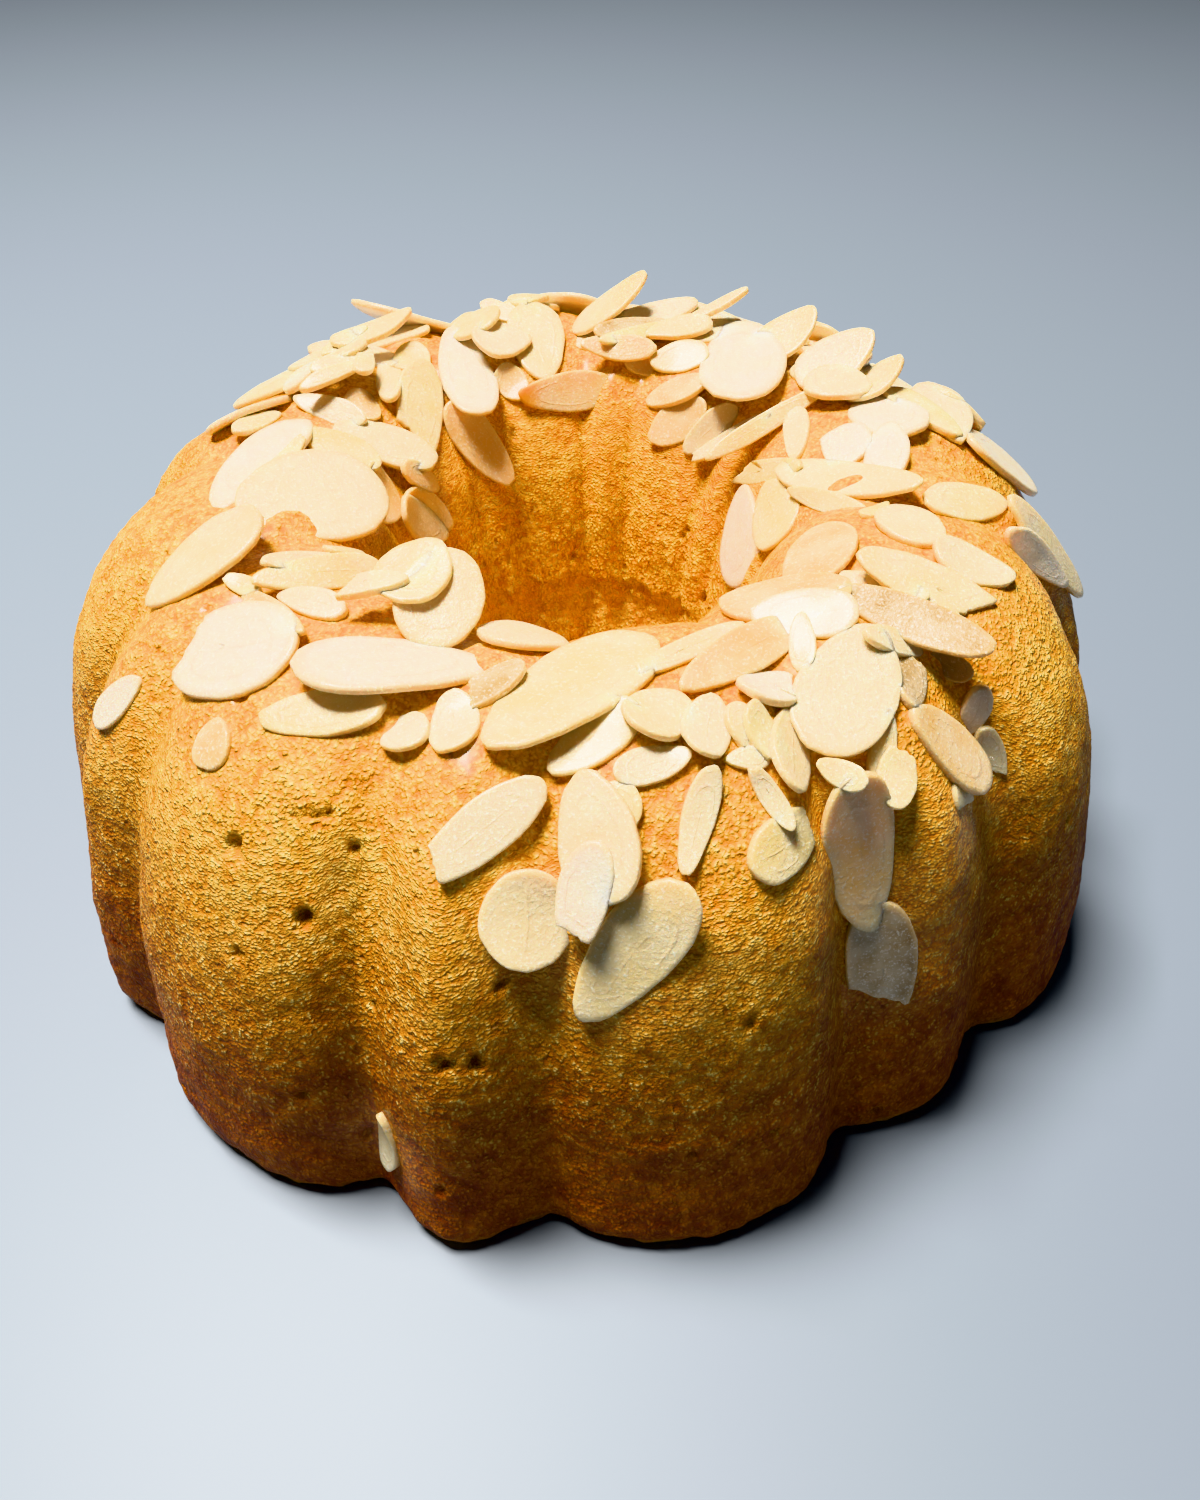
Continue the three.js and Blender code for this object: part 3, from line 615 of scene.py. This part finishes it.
def grid_mesh(name, grid, values):
    """A mesh from a grid that closes both ways, its UV map laid out as the grid is."""
    around, across = grid.shape[:2]
    i, j = np.meshgrid(np.arange(around), np.arange(across), indexing="ij")
    corners = [(i, j), (i + 1, j), (i + 1, j + 1), (i, j + 1)]
    faces = np.stack([(a % around) * across + b % across for a, b in corners], -1).reshape(-1, 4)
    layout = np.stack([np.stack([a / around, b / across], -1) for a, b in corners], 2).reshape(-1, 2)
    return make_mesh(name, grid.reshape(-1, 3), faces, layout, values)


def make_mesh(name, points, faces, layout, values):
    """An object from points in millimetres, faces, their corners' UV places, and point values."""
    mesh = bpy.data.meshes.new(name)
    sides = faces.shape[1]
    mesh.vertices.add(len(points))
    mesh.vertices.foreach_set("co", (points * MM).astype(np.float32).ravel())
    mesh.loops.add(faces.size)
    mesh.loops.foreach_set("vertex_index", faces.astype(np.int32).ravel())
    mesh.polygons.add(len(faces))
    mesh.polygons.foreach_set("loop_start", np.arange(len(faces), dtype=np.int32) * sides)
    mesh.polygons.foreach_set("use_smooth", np.ones(len(faces), bool))
    mesh.uv_layers.new(name="OFBake").uv.foreach_set("vector", layout.astype(np.float32).ravel())
    for key, numbers in values.items():
        kind, field = ("FLOAT_VECTOR", "vector") if np.ndim(numbers) == 2 else ("FLOAT", "value")
        mesh.attributes.new(key, kind, "POINT").data.foreach_set(field, numbers.astype(np.float32).ravel())
    mesh.update(calc_edges=True)
    mesh.validate()
    made = bpy.data.objects.new(name, mesh)
    bpy.context.scene.collection.objects.link(made)
    return made


def make_sponge(flakes):
    grid, values = sponge_surface(flakes)
    return grid_mesh("cake_sponge", grid, values)


def flake_edge(flake, index):
    """Points round a flake's outline in its own plane, with small dents and a jagged break."""
    taper, cut, bend = KINDS[flake.kind]
    turn = 2 * math.pi * np.arange(FLAKE_AROUND) / FLAKE_AROUND
    circle = np.stack([np.cos(turn), np.sin(turn), np.zeros(FLAKE_AROUND)], -1)
    uneven = 1 + 0.06 * lumps(circle, 0.7, index + 20) + 0.03 * lumps(circle, 0.25, index + 21)
    along = np.cos(turn) * uneven
    across = np.sin(turn) * uneven
    y = flake.width / 2 * across * (1 - taper * along) + bend * flake.length * (0.5 - along**2)
    limit = cut + 0.5 * across * (1 - cut) + 0.07 * lumps(circle, 0.16, index + 22) * (cut < 1)
    return np.stack([flake.length / 2 * np.minimum(along, limit), y], -1)


def flake_rings():
    """Rings of one flake, from its top's middle round to its underside's: reach, height, side."""
    top = [(reach, 0.5 - 0.06 * reach**4, 1) for reach in FLAKE_RINGS] + [(1, 0.3, 1)]
    return top + [(reach, -height, -1) for reach, height, _ in reversed(top)]


def flake_faces(rings):
    """Four-sided faces of one flake: between its rings, and strips that close both middles."""
    ring, corner = np.meshgrid(np.arange(rings - 1), np.arange(FLAKE_AROUND), indexing="ij")
    inner, after = ring * FLAKE_AROUND, (corner + 1) % FLAKE_AROUND
    outer = inner + FLAKE_AROUND
    walls = np.stack([inner + corner, outer + corner, outer + after, inner + after], -1).reshape(-1, 4)
    k = np.arange(FLAKE_AROUND // 2 - 1)
    lid = np.stack([k, k + 1, FLAKE_AROUND - 2 - k, FLAKE_AROUND - 1 - k], -1)
    return np.concatenate([walls, lid, lid[:, ::-1] + (rings - 1) * FLAKE_AROUND])


def make_flakes(flakes):
    """All flakes as one mesh, each a thin slice with a round rim, slightly curled."""
    rings = flake_rings()
    reach, level, side = (np.array(column, float)[:, None] for column in zip(*rings))
    points, readings = [], []
    draws = seeded_draws(FLAKE_SEED)
    for index, flake in enumerate(flakes):
        edge = flake_edge(flake, index)
        middle = edge.mean(0)
        flat = middle + reach[..., None] * (edge - middle)
        u, v = flat[..., 0] / (flake.length / 2), flat[..., 1] / (flake.width / 2)
        curl = between(FLAKE_CURLS, next(draws))
        twist = between(FLAKE_TWISTS, next(draws))
        tint = next(draws)
        thick = FLAKE_THICKNESS * between(FLAKE_THICKNESSES, next(draws))
        lift = curl * (u**2 - 0.35) + twist * u * v
        wave = np.concatenate([flat, np.full(u.shape + (1,), 7.0 * index)], -1).reshape(-1, 3)
        lift = lift + FLAKE_WAVE * lumps(wave, FLAKE_WAVE_SIZE, 30).reshape(u.shape)
        z = (lift + thick * level)[..., None]
        on_plane = flake.centre + flat[..., :1] * flake.along + flat[..., 1:] * flake.across
        points.append(on_plane + z * flake.up)
        tint = 0.0 if flake.row in WHITE_FLAKES else between(CREAM_TINTS, tint)
        readings.append({
            "flake_place": np.stack([u, v, side + 0 * u], -1),
            "flake_tint": np.full(u.shape, tint),
            "flake_peach": np.full(u.shape, float(flake.row in PEACH_FLAKES)),
            "flake_shade": np.full(u.shape, float(flake.row in SHADED_FLAKES)),
            "flake_toast": smooth_step(u, 0.5, 0.9) * (flake.row == TOASTED_FLAKE),
            "flake_rim": reach + 0 * u,
        })
    faces = flake_faces(len(rings))
    size = len(rings) * FLAKE_AROUND
    every = np.concatenate([faces + size * index for index in range(len(flakes))])
    values = {key: np.concatenate([each[key].reshape(size, -1) for each in readings]).squeeze()
              for key in readings[0]}
    places = np.concatenate([part.reshape(-1, 3) for part in points])
    return make_mesh("almond_flakes", places, every, flake_layout(len(flakes), len(rings), faces), values)


def flake_layout(flakes, rings, faces):
    """UV places: each flake's top and underside lie side by side in a cell of their own."""
    across = math.ceil(math.sqrt(flakes / 2))
    down = math.ceil(flakes / across)
    ring, corner = faces // FLAKE_AROUND, faces % FLAKE_AROUND
    turn = 2 * math.pi * corner / FLAKE_AROUND
    on_top = (ring.min(1) < rings // 2)[:, None]
    steps = np.where(on_top, ring, rings - 1 - ring)
    reach = 0.47 * (steps + 0.6) / (rings // 2 + 0.6)
    x = np.where(on_top, 0.5, 1.5) + reach * np.cos(turn)
    y = 0.5 + reach * np.sin(turn)
    cells = [np.stack([(x / 2 + index % across) / across, (y + index // across) / down], -1)
             for index in range(flakes)]
    return np.concatenate(cells).reshape(-1, 2)


class Graph:
    """Adds nodes to a new material, each with its settings and inputs in one call."""

    def __init__(self, name):
        self.material = bpy.data.materials.new(name)
        self.material.use_nodes = True
        self.tree = self.material.node_tree
        self.shader = self.tree.nodes["Principled BSDF"]

    def feed(self, target, value):
        if isinstance(value, bpy.types.NodeSocket):
            self.tree.links.new(value, target)
        else:
            target.default_value = value

    def add(self, kind, inputs, output=0, **settings):
        made = self.tree.nodes.new("ShaderNode" + kind)
        for name, value in settings.items():
            setattr(made, name, value)
        for key, value in inputs.items():
            self.feed(made.inputs[key], value)
        return made.outputs[output]

    def finish(self, **inputs):
        for key, value in inputs.items():
            self.feed(self.shader.inputs[key.replace("_", " ")], value)
        return self.material

    def value(self, name, output="Fac"):
        return self.add("Attribute", {}, output, attribute_name=name)

    def math(self, operation, first, second=0.0, clamp=False):
        return self.add("Math", {0: first, 1: second}, operation=operation, use_clamp=clamp)

    def spread(self, value, low, high, to_low=0.0, to_high=1.0):
        """Maps a value's range onto another, and stops at both ends."""
        return self.add("MapRange", {"Value": value, "From Min": low, "From Max": high,
                                     "To Min": to_low, "To Max": to_high})

    def blend(self, share, first, second, how="MIX"):
        """Mixes two colours, which this node takes as its inputs 6 and 7."""
        return self.add("Mix", {"Factor": share, 6: first, 7: second}, 2, data_type="RGBA", blend_type=how)

    def pair(self, share, colours):
        """A colour that wanders between two."""
        return self.blend(share, colour(*colours[0]), colour(*colours[1]))

    def noise(self, places, size, detail=2.0, roughness=0.5, output="Fac"):
        return self.add("TexNoise", {"Vector": places, "Scale": 1 / (size * MM), "Detail": detail,
                                     "Roughness": roughness}, output)

    def voronoi(self, places, size):
        """Distance to the nearest of many scattered points that lie about one size apart."""
        return self.add("TexVoronoi", {"Vector": places, "Scale": 1 / (size * MM)}, "Distance")

    def total(self, *shares):
        """Values added up, each with its weight."""
        total = 0.0
        for value, weight in shares:
            total = self.add("Math", {0: value, 1: weight, 2: total}, operation="MULTIPLY_ADD")
        return total

    def bump(self, height, distance, strength):
        return self.add("Bump", {"Height": height, "Distance": distance * MM, "Strength": strength})


def colour(red, green, blue):
    """A colour given as it looks on a screen, from 0 to 255, for a socket that wants it linear."""
    shares = (value / 255 for value in (red, green, blue))
    return (*(v / 12.92 if v <= 0.04045 else ((v + 0.055) / 1.055) ** 2.4 for v in shares), 1)


def sponge_material():
    """Golden crumb with painted highlights on its granules and painted shade in its gaps and pits, brown
    down the wall (partly crust, partly painted shade), amber in the hole (partly a painted glow), wet near
    the almonds.
    """
    g = Graph("sponge")
    places = g.add("TexCoord", {}, "Object")
    syrup, toast, hole = g.value("syrup"), g.value("toast"), g.value("hole")
    pit, tear, steep = g.value("pit"), g.value("tear"), g.value("steep")
    wander = g.spread(g.noise(places, WANDER_SIZE, 3.0, 0.6), 0.36, 0.64)
    patches = g.noise(places, PATCH_SIZE, 3.0, 0.55)
    upright = g.spread(steep, 0.4, 0.85)
    # Granules with gaps between them, drawn out down the walls
    drawn = g.add("VectorMath", {0: places, 1: (1.0, 1.0, WALL_STRETCH)}, "Vector", operation="MULTIPLY")
    stretched = g.add("Mix", {"Factor": upright, 4: places, 5: drawn}, 1, data_type="VECTOR")
    wobble = g.noise(places, WOBBLE_SIZE, 2.0, 0.6, "Color")
    moved = g.add("VectorMath", {0: wobble, 1: (WOBBLE * MM,) * 3, 2: stretched}, "Vector",
                  operation="MULTIPLY_ADD")
    granules = g.spread(g.voronoi(moved, GRANULE_SIZE), 0.62, 0.1)
    clumps = g.spread(g.noise(moved, CLUMP_SIZE, 3.0, 0.7), 0.3, 0.7)
    fine = g.noise(stretched, GRAIN_SIZE, 2.0, 0.7)
    holes = g.spread(g.voronoi(moved, HOLE_SPACING), 0.2, 0.08)
    holes = g.math("MULTIPLY", holes, g.spread(patches, 0.42, 0.52))

    # Steep surfaces turn brown: partly the crust's colour, partly painted shade where the walls face away
    # from the light above
    skin = g.blend(upright, g.pair(wander, GOLDEN_TOP), g.pair(wander, BROWN_WALL_AND_SHADE))
    crust = g.math("MULTIPLY", toast, g.spread(patches, 0.3, 0.7, 0.55, 1.0))
    skin = g.blend(crust, skin, g.pair(wander, TOASTED_CRUST))
    # The hole's walls turn amber: partly the moist crumb's colour, partly a painted glow of light bounced
    # inside the hole
    skin = g.blend(hole, skin, g.pair(wander, AMBER_HOLE_GLOW))
    skin = g.blend(g.math("MULTIPLY", g.spread(syrup, 0.3, 0.95), 0.5), skin, colour(*WET_CRUMB))
    relief = g.math("ADD", g.math("MULTIPLY", granules, 0.45), g.math("MULTIPLY", clumps, 0.55))
    # Painted shade: the colour is darkened where the granules' and clumps' relief is low
    skin = g.blend(g.spread(relief, 0.54, 0.15, 0.0, 0.8), skin, colour(*PAINTED_GAP_SHADE), "MULTIPLY")
    # Painted highlights: the granules' raised tops are lightened in colour, duller on the steep toasted
    # walls
    dull_highlight = g.math("MULTIPLY", upright, toast)
    granule_highlight = g.blend(g.spread(dull_highlight, 0.0, 0.7), colour(*PAINTED_GRANULE_HIGHLIGHT), colour(*PAINTED_CRUST_HIGHLIGHT))
    skin = g.blend(g.spread(relief, 0.55, 0.85, 0.0, 0.8), skin, granule_highlight)
    # Painted shade: the pits and holes are darkened in colour on top of their real depth
    skin = g.blend(g.math("MULTIPLY", g.math("MAXIMUM", pit, holes), 0.4), skin, colour(*PAINTED_PIT_SHADE))
    skin = g.blend(g.math("MULTIPLY", tear, 0.4), skin, colour(*TORN_CRUMB))

    height = g.total((clumps, 0.3), (granules, 0.27), (fine, 0.16), (holes, -0.35))
    normal = g.bump(height, 1.0, g.spread(syrup, 0.3, 0.95, 1.0, 0.75))
    return g.finish(
        Base_Color=skin,
        Roughness=g.spread(syrup, 0.2, 0.9, 0.5, 0.36),
        Specular_IOR_Level=0.12,
        Normal=normal,
        Coat_Weight=g.spread(syrup, 0.25, 0.85, 0.0, 0.55),
        Coat_Roughness=0.2,
        Subsurface_Weight=0.12,
        Subsurface_Radius=(1.0, 0.42, 0.12),
        Subsurface_Scale=1.6 * MM,
    )


def almond_material():
    """Pale nut flesh that lets light through, with faint marks, a warm rim and fine painted glints of a wet
    glitter.
    """
    g = Graph("almond")
    places = g.add("TexCoord", {}, "Object")
    axes = g.add("SeparateXYZ", {"Vector": g.value("flake_place", "Vector")}, "X").node.outputs
    tint, rim, toast = g.value("flake_tint"), g.value("flake_rim"), g.value("flake_toast")
    clouds = g.spread(g.noise(places, 4.5, 3.0, 0.55), 0.35, 0.65)
    grain = g.noise(places, 1.1, 3.0, 0.7)
    fine = g.noise(places, 0.36, 2.0, 0.7)

    flesh = g.blend(tint, colour(*WHITE_NUT), colour(*CREAM_NUT))
    flesh = g.blend(g.value("flake_peach"), flesh, colour(*PEACH_NUT))
    # Painted shade: flakes that lie in shadow get a dark grey-brown
    flesh = g.blend(g.value("flake_shade"), flesh, colour(*SHADED_NUT))
    flesh = g.blend(g.math("MULTIPLY", clouds, 0.5), flesh, colour(*CLOUDED_NUT))
    # The ring that the two halves of a kernel leave in a slice, and the line between them
    across = g.math("MULTIPLY", axes["X"], axes["X"])
    arc = g.math("MULTIPLY", across, g.spread(tint, 0.0, 1.0, -0.4, 0.5))
    line = g.math("ABSOLUTE", g.math("SUBTRACT", axes["Y"], arc))
    line = g.math("MULTIPLY", g.spread(line, 0.05, 0.0), g.spread(rim, 0.72, 0.5))
    ring = g.math("ABSOLUTE", g.math("SUBTRACT", g.math("ADD", rim, g.math("MULTIPLY", grain, 0.16)), 0.72))
    ring = g.math("MULTIPLY", g.spread(ring, 0.05, 0.0), g.spread(clouds, 0.3, 0.7))
    marks = g.math("MAXIMUM", g.math("MULTIPLY", line, g.spread(clouds, 0.6, 0.2)), ring)
    flesh = g.blend(g.math("MULTIPLY", marks, 0.15), flesh, colour(*NUT_MARKS))
    flesh = g.blend(g.spread(rim, 0.84, 1.0, 0.0, 0.5), flesh, colour(*NUT_RIM))
    # Painted glints: fine near-white specks laid into the colour
    flesh = g.blend(g.spread(fine, 0.55, 0.68, 0.0, 0.5), flesh, colour(*PAINTED_NUT_GLINTS))
    flesh = g.blend(toast, flesh, colour(*TOASTED_NUT))

    normal = g.bump(g.total((marks, 0.06), (grain, 0.12), (fine, 0.11)), 1.0, 0.85)
    return g.finish(
        Base_Color=flesh,
        Roughness=g.spread(clouds, 0.0, 1.0, 0.44, 0.28),
        Normal=normal,
        Coat_Weight=0.4,
        Coat_Roughness=0.14,
        Subsurface_Weight=0.6,
        Subsurface_Radius=(1.0, 0.74, 0.45),
        Subsurface_Scale=1.8 * MM,
    )


def make_camera():
    """The photograph's view: close above the front, turned a little off the cake's middle."""
    lens = bpy.data.cameras.new("camera")
    lens.lens = CAMERA_LENS
    lens.clip_start = 0.005
    camera = bpy.data.objects.new("camera", lens)
    bpy.context.scene.collection.objects.link(camera)
    elevation = math.radians(CAMERA_ELEVATION)
    place = Vector((0, -math.cos(elevation), math.sin(elevation))) * CAMERA_DISTANCE * MM
    facing = (-place).to_track_quat("-Z", "Y").to_matrix().to_4x4()
    turned = [Matrix.Rotation(math.radians(angle), 4, axis) for angle, axis in
              ((CAMERA_PAN, "Y"), (CAMERA_TILT, "X"), (-CAMERA_ROLL, "Z"))]
    camera.matrix_world = Matrix.Translation(place) @ facing @ turned[0] @ turned[1] @ turned[2]
    bpy.context.scene.camera = camera


def add_window():
    """A square soft lamp that faces the cake's middle."""
    lamp = bpy.data.lights.new("window", "AREA")
    lamp.size = WINDOW_SIZE * MM
    lamp.energy = WINDOW_POWER
    lamp.color = WINDOW_COLOUR
    made = bpy.data.objects.new("window", lamp)
    bpy.context.scene.collection.objects.link(made)
    direction = Vector(WINDOW_TOWARDS).normalized()
    made.location = Vector((0, 0, WINDOW_AIM * MM)) + direction * WINDOW_DISTANCE * MM
    made.rotation_euler = (-direction).to_track_quat("-Z", "Y").to_euler()


def light_scene():
    add_window()
    world = bpy.data.worlds.new("room")
    world.use_nodes = True
    world.node_tree.nodes["Background"].inputs["Color"].default_value = ROOM_COLOUR
    world.node_tree.nodes["Background"].inputs["Strength"].default_value = ROOM_STRENGTH
    bpy.context.scene.world = world
    bpy.context.scene.view_settings.view_transform = "Khronos PBR Neutral"


def make_floor():
    """A plain pale floor, wide enough to fill every view."""
    bpy.ops.mesh.primitive_circle_add(vertices=96, radius=3, fill_type="NGON")
    floor = bpy.context.object
    floor.name = "floor"
    g = Graph("pale_floor")
    floor.data.materials.append(g.finish(Base_Color=FLOOR_COLOUR, Roughness=0.55))


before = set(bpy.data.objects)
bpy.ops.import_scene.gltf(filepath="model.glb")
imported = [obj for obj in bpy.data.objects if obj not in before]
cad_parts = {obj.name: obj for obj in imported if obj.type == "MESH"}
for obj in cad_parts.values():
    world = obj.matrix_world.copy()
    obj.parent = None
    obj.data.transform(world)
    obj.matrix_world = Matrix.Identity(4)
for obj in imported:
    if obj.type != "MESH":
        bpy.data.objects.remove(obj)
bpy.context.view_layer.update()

make_camera()
light_scene()
make_floor()

flakes = lay_flakes()
sponge = make_sponge(flakes)
sponge.data.materials.append(sponge_material())
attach(sponge, "root")
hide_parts("cake")

almonds = make_flakes(flakes)
almonds.data.materials.append(almond_material())
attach(almonds, "root")
